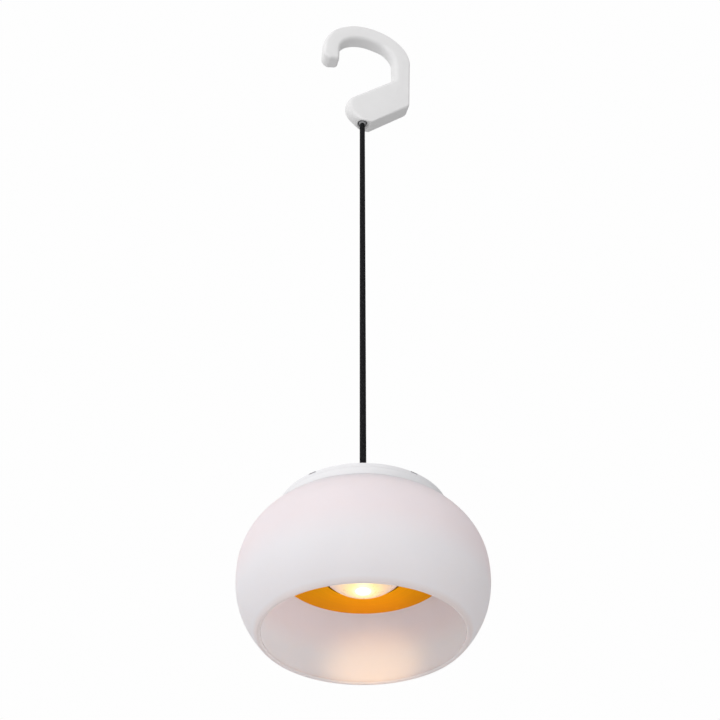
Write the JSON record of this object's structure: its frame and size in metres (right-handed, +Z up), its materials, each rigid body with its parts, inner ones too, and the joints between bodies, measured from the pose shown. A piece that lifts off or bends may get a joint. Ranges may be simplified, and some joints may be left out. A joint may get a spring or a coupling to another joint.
{
  "type": "hanging lamp",
  "caption": "Cordless hanging lamp: a moulded hook, a braided cord and a frosted globe shade open at the bottom, with a gold reflector and a warm domed light.",
  "frame": {"origin": "on the seat inside the hook, straight above the cord", "axes": "+Z up along the hanging cord, the hook lies in the XZ plane and opens towards -X, +Y towards the side with the button and charging socket"},
  "size_m": [0.15, 0.15, 0.5985],
  "materials": {
    "hook_plastic": "satin moulded white, fine even grain",
    "cap_plastic": "satin moulded white",
    "braid": "black braided textile sleeve with faint lighter flecks",
    "frosted_shade": "frosted translucent white, soft sheen, lets warm light through",
    "gold": "satin gold orange coating",
    "steel": "plain bright steel",
    "brass": "plain brass",
    "gasket_rubber": "soft grey sealing rubber",
    "soft_grey": "soft light grey rubber",
    "clear_pipe": "clear light pipe",
    "lens": "warm glowing domed diffuser",
    "emitter": "phosphor coated light source",
    "board_green": "green circuit board",
    "board_white": "white coated aluminium board",
    "aluminium": "bare aluminium",
    "black_plastic": "plain black plastic",
    "cell_sleeve": "blue sleeve on a metal cell",
    "red_lead": "red insulation",
    "black_lead": "black insulation"
  },
  "bodies": {
    "hook": {"hook_body": "hook_plastic", "hook_plug": "hook_plastic"},
    "cord_top": {"cord_ball": "steel"},
    "cord_line": {"cord": "braid"},
    "cord_end": {"cord_end_ball": "steel"},
    "washer": {"seat_washer": "brass"},
    "lamp": {"shade": "frosted_shade", "upper_gasket": "gasket_rubber", "lower_gasket": "gasket_rubber", "cap_housing": "cap_plastic", "top_cover": "cap_plastic", "cord_bushing": "soft_grey", "control_board": "board_green", "charging_socket": "steel", "tact_switch": "black_plastic", "charge_light_pipe": "clear_pipe", "inner_can": "gold", "reflector": "gold", "lens": "lens", "lens_ring": "black_plastic", "heat_spreader": "aluminium", "light_board": "board_white", "light_emitter": "emitter", "battery_tray": "black_plastic", "battery_cell_1": "cell_sleeve", "battery_cell_2": "cell_sleeve", "contact_strip_1": "brass", "contact_strip_2": "brass", "cell_spring_1": "steel", "cell_spring_2": "steel", "battery_lead_red": "red_lead", "light_lead_red": "red_lead", "battery_lead_black": "black_lead", "light_lead_black": "black_lead", "can_screw_1": "steel", "can_screw_2": "steel", "can_screw_3": "steel", "board_screw_1": "steel", "board_screw_2": "steel", "light_screw_1": "steel", "light_screw_2": "steel", "tray_screw_1": "steel", "tray_screw_2": "steel"},
    "button": {"power_button": "soft_grey"},
    "flap": {"port_flap": "soft_grey"}
  },
  "joints": [
    {"name": "swing_fore_aft", "type": "hinge", "parent": "hook", "child": "cord_top", "pos_m": [0, 0, -0.1106], "axis": [1, 0, 0], "range_deg": [-18, 18]},
    {"name": "swing_sideways", "type": "hinge", "parent": "cord_top", "child": "cord_line", "pos_m": [0, 0, -0.1106], "axis": [0, 1, 0], "range_deg": [-18, 18]},
    {"name": "lamp_turn", "type": "hinge", "parent": "cord_line", "child": "cord_end", "pos_m": [0, 0, -0.504], "axis": [0, 0, 1], "range_deg": [-180, 180]},
    {"name": "rock_fore_aft", "type": "hinge", "parent": "cord_end", "child": "washer", "pos_m": [0, 0, -0.504], "axis": [1, 0, 0], "range_deg": [-8, 8]},
    {"name": "rock_sideways", "type": "hinge", "parent": "washer", "child": "lamp", "pos_m": [0, 0, -0.504], "axis": [0, 1, 0], "range_deg": [-8, 8]},
    {"name": "button_press", "type": "slide", "parent": "lamp", "child": "button", "axis": [0, 0, -1], "range_m": [0, 0.0008], "stiffness_N_per_m": 1500, "springref_m": -0.0003},
    {"name": "flap_open", "type": "hinge", "parent": "lamp", "child": "flap", "pos_m": [-0.012, 0.028, -0.4957], "axis": [-1, 0, 0], "range_deg": [0, 110]}
  ]
}
